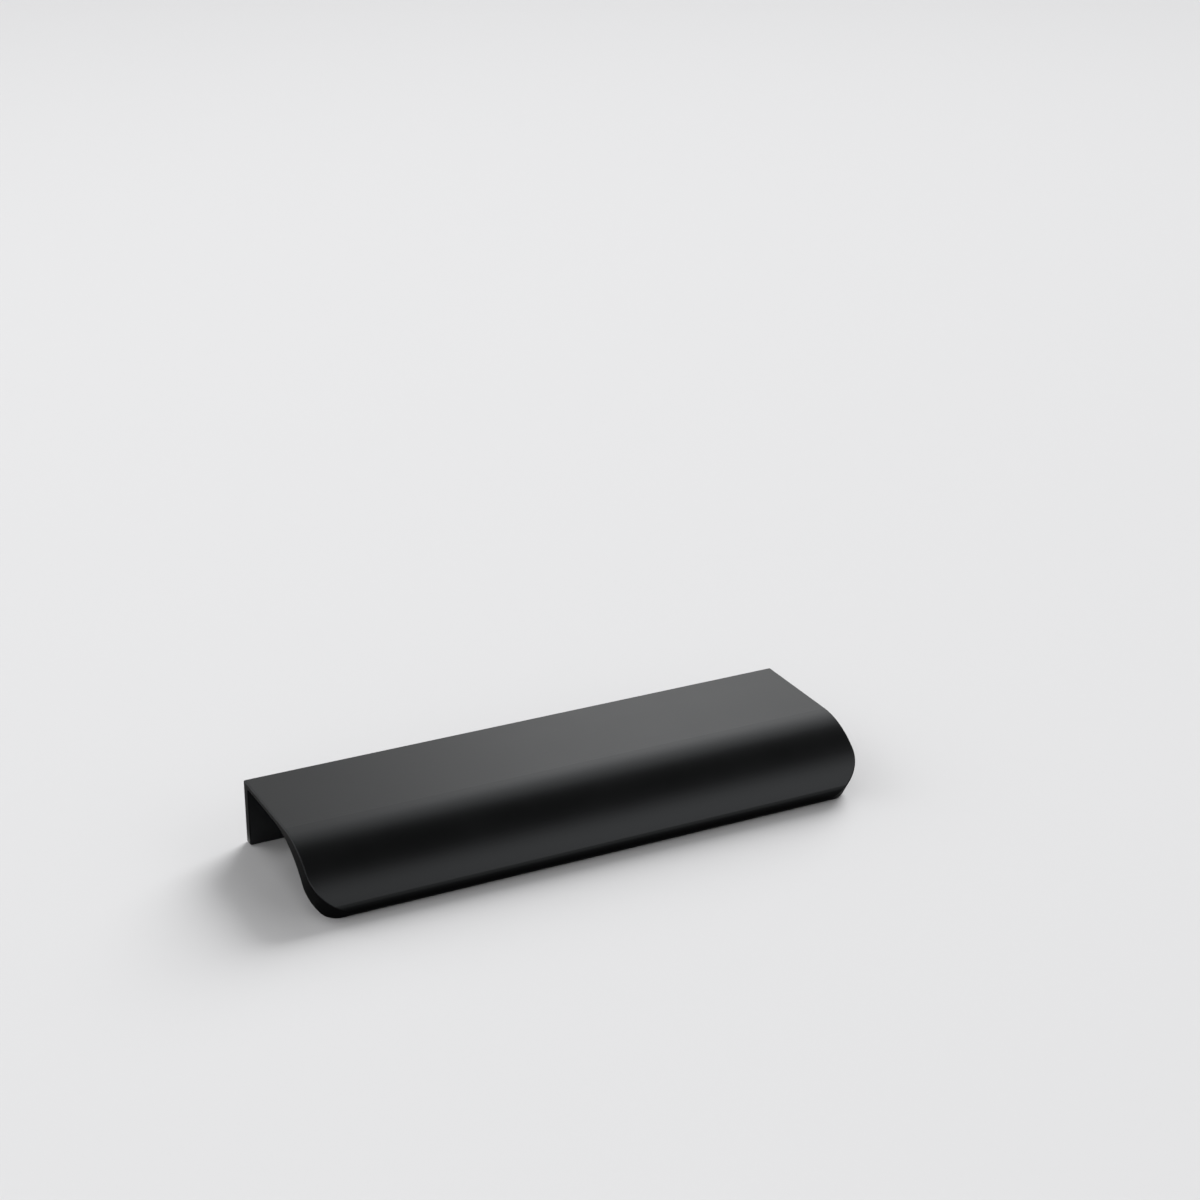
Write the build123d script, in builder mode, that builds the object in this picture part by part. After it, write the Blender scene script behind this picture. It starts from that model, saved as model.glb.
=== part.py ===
import os

from build123d import *

# Edge pull for a drawer front: an extruded aluminium bar whose plate lies on the top edge of the front,
# with a lip to pull on at the front and a flange with screw holes behind. All sizes are in millimetres.

# Plate
length = 160.0
plate_thickness = 1.5
flat_depth = 30.7

# Lip: it curves forward and down from the plate and thickens to a rounded nose, fuller in front than behind
bend_radius = 22.5
lip_angle = 66.5
nose_front_radius = 3.4
nose_back_radius = 2.2

# Front corners of the lip, rounded by milling. The ease lets each arc run out just short of the nose.
corner_radius = 10.7
corner_ease = 0.1

# Softened edges round the two sawn ends and corners
end_edge_radius = 0.4

# Flange that hooks down behind the drawer front
flange_thickness = 3.0
flange_height = 18.2
root_radius = 1.0
flange_edge_radius = 0.6
rear_edge_radius = 0.5

# Screw holes through the flange, countersunk from behind
screw_spacing = 128.0
screw_drop = 10.5
screw_hole_radius = 2.0
countersink_radius = 3.75
countersink_angle = 90.0

# The origin is midway between the screw holes, on the flange face that meets the drawer front.
# X runs along the pull, the lip points to -Y, and Z is up.
top_z = screw_drop
under_z = top_z - plate_thickness
foot_z = top_z - flange_height
bend_y = flange_thickness - flat_depth

with BuildPart() as edge_pull:
    # Section of the bar, from the rear edge of the plate forward round the lip and back to the flange
    with BuildSketch(Plane.YZ) as section:
        with BuildLine():
            top = Line((flange_thickness, top_z), (bend_y, top_z))
            bend = JernArc(top @ 1, top % 1, bend_radius, lip_angle)
            nose_front = JernArc(bend @ 1, bend % 1, nose_front_radius, 90)
            nose_back = JernArc(nose_front @ 1, nose_front % 1, nose_back_radius, 90)
            # One arc leads from the back of the nose to the plate, so that the lip thins evenly
            heading = nose_back % 1
            under_radius = (under_z - (nose_back @ 1).Y) / (1 - heading.X)
            under = JernArc(nose_back @ 1, heading, under_radius, -lip_angle)
            Polyline(under @ 1, (0, under_z), (0, foot_z), (flange_thickness, foot_z), top @ 0)
        make_face()
        fillet(section.vertices().sort_by_distance((0, under_z))[0], root_radius)
        fillet(section.vertices().group_by(Axis.Y)[0], flange_edge_radius)
        fillet(section.vertices().sort_by_distance(top @ 0)[0], rear_edge_radius)
    extrude(amount=length / 2, both=True)

    # The front corners are milled round, square to the chord of the lip's curve
    nose_center = nose_front.arc_center
    corner_plane = Plane((0, nose_center.X, nose_center.Y)).rotated((lip_angle / 2, 0, 0))
    reach = 2 * (flat_depth + bend_radius)
    with BuildSketch(corner_plane) as blank:
        with Locations((0, -nose_front_radius - corner_ease)):
            Rectangle(length, reach, align=(Align.CENTER, Align.MIN))
        fillet(blank.vertices().group_by(Axis.Y)[0], corner_radius)
    extrude(amount=reach, both=True, mode=Mode.INTERSECT)

    # The seams where a corner runs smoothly into its end need no softening
    end_edges = edge_pull.edges().filter_by(lambda edge: abs(edge.center().X) > length / 2 - corner_radius)
    seams = end_edges.filter_by(Axis(corner_plane.origin, corner_plane.z_dir))
    fillet(end_edges - seams, end_edge_radius)

    # The holes end in the space between flange and lip
    with Locations(Plane((0, flange_thickness, 0), x_dir=(1, 0, 0), z_dir=(0, 1, 0))):
        with GridLocations(screw_spacing, 0, 2, 1):
            CounterSinkHole(
                radius=screw_hole_radius,
                counter_sink_radius=countersink_radius,
                depth=2 * flange_thickness,
                counter_sink_angle=countersink_angle,
            )

os.makedirs("parts", exist_ok=True)
edge_pull.part.label = "edge_pull"
export_step(edge_pull.part, "parts/edge_pull.step")
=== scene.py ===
"""Looks of the edge pull: its black anodised finish, and the pale studio that shows it."""

import math

import bmesh
import bpy
from mathutils import Matrix, Vector


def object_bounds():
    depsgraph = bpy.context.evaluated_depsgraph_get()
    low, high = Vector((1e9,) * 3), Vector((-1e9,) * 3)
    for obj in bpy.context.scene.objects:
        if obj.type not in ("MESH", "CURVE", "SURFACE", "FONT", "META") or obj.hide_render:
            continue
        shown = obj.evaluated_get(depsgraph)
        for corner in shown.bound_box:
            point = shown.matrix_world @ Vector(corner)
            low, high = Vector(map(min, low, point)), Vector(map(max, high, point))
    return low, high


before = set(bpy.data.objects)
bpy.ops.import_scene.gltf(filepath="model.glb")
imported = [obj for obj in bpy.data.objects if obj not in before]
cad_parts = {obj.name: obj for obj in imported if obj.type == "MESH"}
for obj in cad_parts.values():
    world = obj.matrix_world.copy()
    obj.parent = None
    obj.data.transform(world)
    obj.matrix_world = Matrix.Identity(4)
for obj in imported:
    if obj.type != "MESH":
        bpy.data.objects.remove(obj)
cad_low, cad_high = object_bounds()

bl_info = {
    "name": "Edge Pull",
    "version": (1, 0, 0),
    "blender": (4, 5, 0),
    "location": "3D View > Sidebar > Edge Pull",
    "description": "Finishes the edge pull in black anodised aluminium and sets the studio round it",
    "category": "Object",
}

MM = 0.001

# Nearly all values of a noise texture lie between these
NOISE_LOW, NOISE_HIGH = 0.3, 0.7

# Length of the lines that the die leaves, as a multiple of their width
LINE_STRETCH = 200

# The floor and the card lie this far under the pull, so that no two faces meet
FLOOR_GAP = 0.01 * MM
CARD_GAP = 0.005 * MM

# Card of painted dark reflection: its gap to the pull's ends, its reach back under the nose, and the place
# of its rear edge
CARD_END_GAP = 1 * MM
CARD_UNDER_NOSE = 8 * MM
CARD_REAR = 70 * MM

# Ring of light round the studio, by how far up and by how far aside it is, to the left and right alike.
# Each stop is an angle in degrees and the light there, and the two lights are multiplied.
RING_UP = ((0.5, 0.187), (13.8, 1.0), (37.0, 1.0), (52.7, 0.053))
RING_ASIDE = ((19.2, 0.625), (23.9, 2.22), (31.3, 0.82), (38.3, 1.4), (62.0, 0.65))

# Softboxes: name, azimuth and elevation in degrees, width and height in metres
SOFTBOXES = (
    ("right softbox", 142.0, 47.2, 0.825, 0.952),
    ("left softbox", -142.0, 47.2, 0.825, 0.952),
    ("top softbox", -90.0, 80.0, 1.6, 0.5),
)
SOFTBOX_DISTANCE = 1.5

# Key light: azimuth and elevation in degrees
KEY_AZIMUTH = 128.0
KEY_ELEVATION = 28.0

# Width of the camera's sensor in millimetres
SENSOR_WIDTH = 36.0


def linear(hex_colour):
    """Linear RGB of an sRGB hex colour such as "#1A2B3C"."""
    parts = [int(hex_colour[i : i + 2], 16) / 255 for i in (1, 3, 5)]
    return tuple(c / 12.92 if c <= 0.04045 else ((c + 0.055) / 1.055) ** 2.4 for c in parts)


def set_inputs(node, inputs):
    """Sets inputs of a node, each to a constant or to the output socket that feeds it."""
    for name, value in inputs.items():
        if isinstance(value, bpy.types.NodeSocket):
            node.id_data.links.new(value, node.inputs[name])
        else:
            node.inputs[name].default_value = value


def add_node(owner, kind, inputs, **settings):
    """Adds a node with its settings and links to a material or world."""
    node = owner.node_tree.nodes.new(kind)
    for name, value in settings.items():
        setattr(node, name, value)
    set_inputs(node, inputs)
    return node


class EdgePullFinish(bpy.types.PropertyGroup):
    """Colour and surface of the pull."""

    colour: bpy.props.FloatVectorProperty(
        name="Colour",
        description="Colour that the dyed oxide gives to reflected light",
        subtype="COLOR",
        min=0.0,
        max=1.0,
        default=linear("#353637"),
    )
    roughness: bpy.props.FloatProperty(
        name="Roughness",
        description="Mean roughness of the satin surface",
        subtype="FACTOR",
        min=0.0,
        max=1.0,
        default=0.32,
    )
    cloud_width: bpy.props.FloatProperty(
        name="Cloud width",
        description="Width of the clouds in the dye",
        unit="LENGTH",
        precision=4,
        default=14 * MM,
    )
    cloud_tone: bpy.props.FloatProperty(
        name="Cloud tone",
        description="Share by which the clouds lighten and darken the colour",
        subtype="FACTOR",
        min=0.0,
        max=1.0,
        default=0.03,
    )
    cloud_gloss: bpy.props.FloatProperty(
        name="Cloud gloss",
        description="Amount by which the clouds raise and lower the roughness",
        subtype="FACTOR",
        min=0.0,
        max=1.0,
        default=0.012,
    )
    line_width: bpy.props.FloatProperty(
        name="Die line width",
        description="Width of the faint lines that run along the bar",
        unit="LENGTH",
        precision=5,
        default=0.9 * MM,
    )
    line_depth: bpy.props.FloatProperty(
        name="Die line depth",
        description="Depth of the faint lines that run along the bar",
        unit="LENGTH",
        precision=6,
        default=0.004 * MM,
    )
    pit_width: bpy.props.FloatProperty(
        name="Pit width",
        description="Width of one pit of the blasted surface, as drawn",
        unit="LENGTH",
        precision=5,
        default=0.5 * MM,
    )
    pit_depth: bpy.props.FloatProperty(
        name="Pit depth",
        description="Depth of one pit of the blasted surface",
        unit="LENGTH",
        precision=6,
        default=0.006 * MM,
    )


class EdgePullStage(bpy.types.PropertyGroup):
    """Floor, light and camera."""

    floor_colour: bpy.props.FloatVectorProperty(
        name="Floor colour",
        description="Colour of the plain floor",
        subtype="COLOR",
        min=0.0,
        max=1.0,
        default=linear("#DADADB"),
    )
    floor_width: bpy.props.FloatProperty(
        name="Floor width",
        description="Width of the square floor",
        unit="LENGTH",
        default=12.0,
    )
    backdrop_colour: bpy.props.FloatVectorProperty(
        name="Backdrop colour",
        description="Colour that the camera sees beyond the floor",
        subtype="COLOR",
        min=0.0,
        max=1.0,
        default=linear("#D7D7D8"),
    )
    # The card's colour paints the dark reflection that the nose and the ends show
    dark_reflection_colour: bpy.props.FloatVectorProperty(
        name="Card colour",
        description="Colour of the dark reflection card that the nose and the ends mirror",
        subtype="COLOR",
        min=0.0,
        max=1.0,
        default=linear("#5C5C5C"),
    )
    card_width: bpy.props.FloatProperty(
        name="Card width",
        description="Width of the dark reflection card",
        unit="LENGTH",
        default=1.0,
    )
    softbox_light: bpy.props.FloatProperty(
        name="Softbox light",
        description="Radiance of the softboxes",
        min=0.0,
        default=0.9,
    )
    key_light: bpy.props.FloatProperty(
        name="Key light",
        description="Strength of the light that casts the soft shadow",
        min=0.0,
        default=3.2,
    )
    key_spread: bpy.props.FloatProperty(
        name="Key spread",
        description="Angle that the key light takes up, which softens the shadow",
        subtype="ANGLE",
        default=math.radians(35),
    )
    azimuth: bpy.props.FloatProperty(
        name="Azimuth",
        description="Turn of the camera round the pull, from straight in front towards the right",
        subtype="ANGLE",
        default=math.radians(-26.69),
    )
    elevation: bpy.props.FloatProperty(
        name="Elevation",
        description="Height of the camera above the horizon",
        subtype="ANGLE",
        default=math.radians(22.74),
    )
    distance: bpy.props.FloatProperty(
        name="Distance",
        description="Distance from the camera to the point at the middle of its view",
        unit="LENGTH",
        default=698.7 * MM,
    )
    aim: bpy.props.FloatVectorProperty(
        name="Aim",
        description="Point at the middle of the camera's view",
        subtype="TRANSLATION",
        default=(25.8 * MM, 4.5 * MM, 41.3 * MM),
    )
    lens: bpy.props.FloatProperty(
        name="Lens",
        description="Focal length in millimetres",
        default=75.91,
    )


def black_anodised_aluminium(finish):
    """Blasted and dyed aluminium: the dye dims what it mirrors, and the pits blur that to a satin sheen."""
    material = bpy.data.materials.new("black anodised aluminium")
    material.use_nodes = True
    place = add_node(material, "ShaderNodeTexCoord", {}).outputs["Object"]

    # The dye takes up a little unevenly, which shows as slow clouds of tone and gloss
    cloud = {"Vector": place, "Scale": 1 / finish.cloud_width, "Detail": 3.0}
    clouds = add_node(material, "ShaderNodeTexNoise", cloud).outputs["Fac"]
    tone = add_node(material, "ShaderNodeValToRGB", {"Fac": clouds})
    darker, lighter = tone.color_ramp.elements
    darker.position, lighter.position = NOISE_LOW, NOISE_HIGH
    darker.color = (*(c * (1 - finish.cloud_tone) for c in finish.colour), 1.0)
    lighter.color = (*(c * (1 + finish.cloud_tone) for c in finish.colour), 1.0)
    gloss = add_node(
        material,
        "ShaderNodeMapRange",
        {
            "Value": clouds,
            "From Min": NOISE_LOW,
            "From Max": NOISE_HIGH,
            "To Min": finish.roughness - finish.cloud_gloss,
            "To Max": finish.roughness + finish.cloud_gloss,
        },
    )

    # The die leaves faint lines along the bar
    across = 1 / finish.line_width
    stretch = {"Vector": place, "Scale": (across / LINE_STRETCH, across, across)}
    along = add_node(material, "ShaderNodeMapping", stretch).outputs["Vector"]
    lines = add_node(material, "ShaderNodeTexNoise", {"Vector": along, "Scale": 1.0}).outputs["Fac"]
    line_relief = {"Height": lines, "Distance": finish.line_depth}
    lined = add_node(material, "ShaderNodeBump", line_relief).outputs["Normal"]

    # Blasting pits the metal every 0.05 mm. That is too fine to show, so it is drawn ten times as wide.
    grain = {"Vector": place, "Scale": 1 / finish.pit_width}
    pits = add_node(material, "ShaderNodeTexNoise", grain).outputs["Fac"]
    pit_relief = {"Height": pits, "Distance": finish.pit_depth, "Normal": lined}
    pitted = add_node(material, "ShaderNodeBump", pit_relief)

    set_inputs(
        material.node_tree.nodes["Principled BSDF"],
        {
            "Base Color": tone.outputs["Color"],
            "Metallic": 1.0,
            "Roughness": gloss.outputs["Result"],
            "Normal": pitted.outputs["Normal"],
        },
    )
    return material


def matt_material(name, colour):
    """Paper of the stage, or the card that paints dark reflections: even in tone and free of sheen."""
    material = bpy.data.materials.new(name)
    material.use_nodes = True
    shader = material.node_tree.nodes["Principled BSDF"]
    set_inputs(shader, {"Base Color": (*colour, 1.0), "Specular IOR Level": 0.0})
    return material


def direction(azimuth, elevation):
    """Unit vector at an azimuth, from straight in front towards the right, and an elevation."""
    level = math.cos(elevation)
    return Vector((math.sin(azimuth) * level, -math.cos(azimuth) * level, math.sin(elevation)))


def facing(out):
    """Turn of a lamp or camera that stands out along a direction and looks back."""
    return out.to_track_quat("Z", "Y").to_matrix().to_4x4()


def add_sheet(scene, name, rectangles, z, material):
    """Adds a level sheet to the stage, made of rectangles with low and high corners in X and Y."""
    bm = bmesh.new()
    for (x0, y0), (x1, y1) in rectangles:
        middle = Matrix.Translation(((x0 + x1) / 2, (y0 + y1) / 2, z))
        size = Matrix.Diagonal((x1 - x0, y1 - y0, 1.0, 1.0))
        bmesh.ops.create_grid(bm, x_segments=1, y_segments=1, size=0.5, matrix=middle @ size)
    mesh = bpy.data.meshes.new(name)
    bm.to_mesh(mesh)
    bm.free()
    mesh.materials.append(material)
    sheet = bpy.data.objects.new(name, mesh)
    scene.collection.objects.link(sheet)
    return sheet


class EDGE_PULL_OT_finish(bpy.types.Operator):
    """Gives the pull its black anodised finish"""

    bl_idname = "edge_pull.finish"
    bl_label = "Finish the pull"

    def execute(self, context):
        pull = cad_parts["edge_pull"]
        pull.material_slots[0].material = black_anodised_aluminium(context.scene.edge_pull_finish)
        return {"FINISHED"}


class EDGE_PULL_OT_stage(bpy.types.Operator):
    """Lays the floor and sets the lights and the camera"""

    bl_idname = "edge_pull.stage"
    bl_label = "Set the stage"

    def execute(self, context):
        stage = context.scene.edge_pull_stage
        self.lay_floor(context.scene, stage)
        self.set_world(context.scene, stage)
        self.set_lights(context.scene, stage)
        self.set_camera(context.scene, stage)
        return {"FINISHED"}

    def lay_floor(self, scene, stage):
        """Lays the floor just under the pull, and just over the floor the card that paints dark
        reflections.
        """
        half = stage.floor_width / 2
        paper = matt_material("matt white paper", stage.floor_colour)
        add_sheet(scene, "floor", [((-half, -half), (half, half))], cad_low.z - FLOOR_GAP, paper)

        # Only reflections show the card, which lies in front of the pull and beside its ends. Its colour is
        # a painted dark reflection on the nose and the ends.
        reach = stage.card_width / 2
        left = cad_low.x - CARD_END_GAP
        right = cad_high.x + CARD_END_GAP
        under_nose = cad_low.y + CARD_UNDER_NOSE
        rectangles = [
            ((-reach, -reach), (reach, under_nose)),
            ((-reach, under_nose), (left, CARD_REAR)),
            ((right, under_nose), (reach, CARD_REAR)),
        ]
        # Painted dark reflection: the colour that the nose and the ends mirror from the card
        painted_reflection = matt_material("painted dark reflection", stage.dark_reflection_colour)
        card = add_sheet(scene, "dark reflection card", rectangles, cad_low.z - CARD_GAP, painted_reflection)
        card.visible_camera = False
        card.visible_diffuse = False
        card.visible_shadow = False

    def set_world(self, scene, stage):
        """Puts a ring of light round the pull, a dark ceiling over it and a backdrop beyond the floor."""
        world = bpy.data.worlds.new("studio")
        world.use_nodes = True
        way = add_node(world, "ShaderNodeTexCoord", {}).outputs["Generated"]
        parts = add_node(world, "ShaderNodeSeparateXYZ", {"Vector": way}).outputs
        aside = add_node(world, "ShaderNodeMath", {0: parts["X"]}, operation="ABSOLUTE").outputs[0]
        levels = []
        for sine, stops in ((parts["Z"], RING_UP), (aside, RING_ASIDE)):
            ramp = add_node(world, "ShaderNodeValToRGB", {"Fac": sine})
            # A new ramp has a stop at each end, and the ring's stops take their place
            elements = ramp.color_ramp.elements
            elements.remove(elements[-1])
            for angle, level in stops:
                elements.new(math.sin(math.radians(angle))).color = (level, level, level, 1.0)
            elements.remove(elements[0])
            levels.append(ramp.outputs["Color"])
        up_level, aside_level = levels
        ring = world.node_tree.nodes["Background"]
        set_inputs(ring, {"Color": up_level, "Strength": aside_level})

        # The camera sees a backdrop as pale as the far floor instead of the ring
        backdrop = add_node(world, "ShaderNodeBackground", {"Color": (*stage.backdrop_colour, 1.0)})
        seen = add_node(world, "ShaderNodeLightPath", {}).outputs["Is Camera Ray"]
        sky = add_node(world, "ShaderNodeMixShader", {0: seen, 1: ring.outputs[0], 2: backdrop.outputs[0]})
        set_inputs(world.node_tree.nodes["World Output"], {"Surface": sky.outputs[0]})
        scene.world = world

    def set_lights(self, scene, stage):
        """Hangs the softboxes, and the key light behind on the right, which no reflection shows."""
        for name, azimuth, elevation, width, height in SOFTBOXES:
            light = bpy.data.lights.new(name, "AREA")
            light.shape = "ELLIPSE"
            light.size = width
            light.size_y = height
            # An area light's power is its radiance times its area times pi
            area = math.pi * width * height / 4
            light.energy = stage.softbox_light * area * math.pi
            lamp = bpy.data.objects.new(name, light)
            out = direction(math.radians(azimuth), math.radians(elevation))
            lamp.matrix_world = Matrix.Translation(out * SOFTBOX_DISTANCE) @ facing(out)
            scene.collection.objects.link(lamp)

        sun = bpy.data.lights.new("key", "SUN")
        sun.energy = stage.key_light
        sun.angle = stage.key_spread
        key = bpy.data.objects.new("key", sun)
        key.matrix_world = facing(direction(math.radians(KEY_AZIMUTH), math.radians(KEY_ELEVATION)))
        key.visible_glossy = False
        scene.collection.objects.link(key)

    def set_camera(self, scene, stage):
        """Sets the camera, and shows colours as they are."""
        data = bpy.data.cameras.new("camera")
        data.sensor_width = SENSOR_WIDTH
        data.lens = stage.lens
        data.clip_start = 10 * MM
        camera = bpy.data.objects.new("camera", data)
        out = direction(stage.azimuth, stage.elevation)
        camera.matrix_world = Matrix.Translation(Vector(stage.aim) + out * stage.distance) @ facing(out)
        scene.collection.objects.link(camera)
        scene.camera = camera
        scene.view_settings.view_transform = "Standard"


class EDGE_PULL_PT_sidebar(bpy.types.Panel):
    """Sizes, colours and steps of the edge pull"""

    bl_idname = "EDGE_PULL_PT_sidebar"
    bl_label = "Edge Pull"
    bl_space_type = "VIEW_3D"
    bl_region_type = "UI"
    bl_category = "Edge Pull"

    def draw(self, context):
        scene = context.scene
        steps = (
            (scene.edge_pull_finish, EDGE_PULL_OT_finish),
            (scene.edge_pull_stage, EDGE_PULL_OT_stage),
        )
        for values, step in steps:
            box = self.layout.box()
            for name in values.__annotations__:
                box.prop(values, name)
            box.operator(step.bl_idname)


CLASSES = (EdgePullFinish, EdgePullStage, EDGE_PULL_OT_finish, EDGE_PULL_OT_stage, EDGE_PULL_PT_sidebar)


def register():
    for cls in CLASSES:
        bpy.utils.register_class(cls)
    bpy.types.Scene.edge_pull_finish = bpy.props.PointerProperty(type=EdgePullFinish)
    bpy.types.Scene.edge_pull_stage = bpy.props.PointerProperty(type=EdgePullStage)


def unregister():
    del bpy.types.Scene.edge_pull_stage
    del bpy.types.Scene.edge_pull_finish
    for cls in reversed(CLASSES):
        bpy.utils.unregister_class(cls)


def main():
    register()
    bpy.ops.edge_pull.finish()
    bpy.ops.edge_pull.stage()


if __name__ == "__main__":
    main()
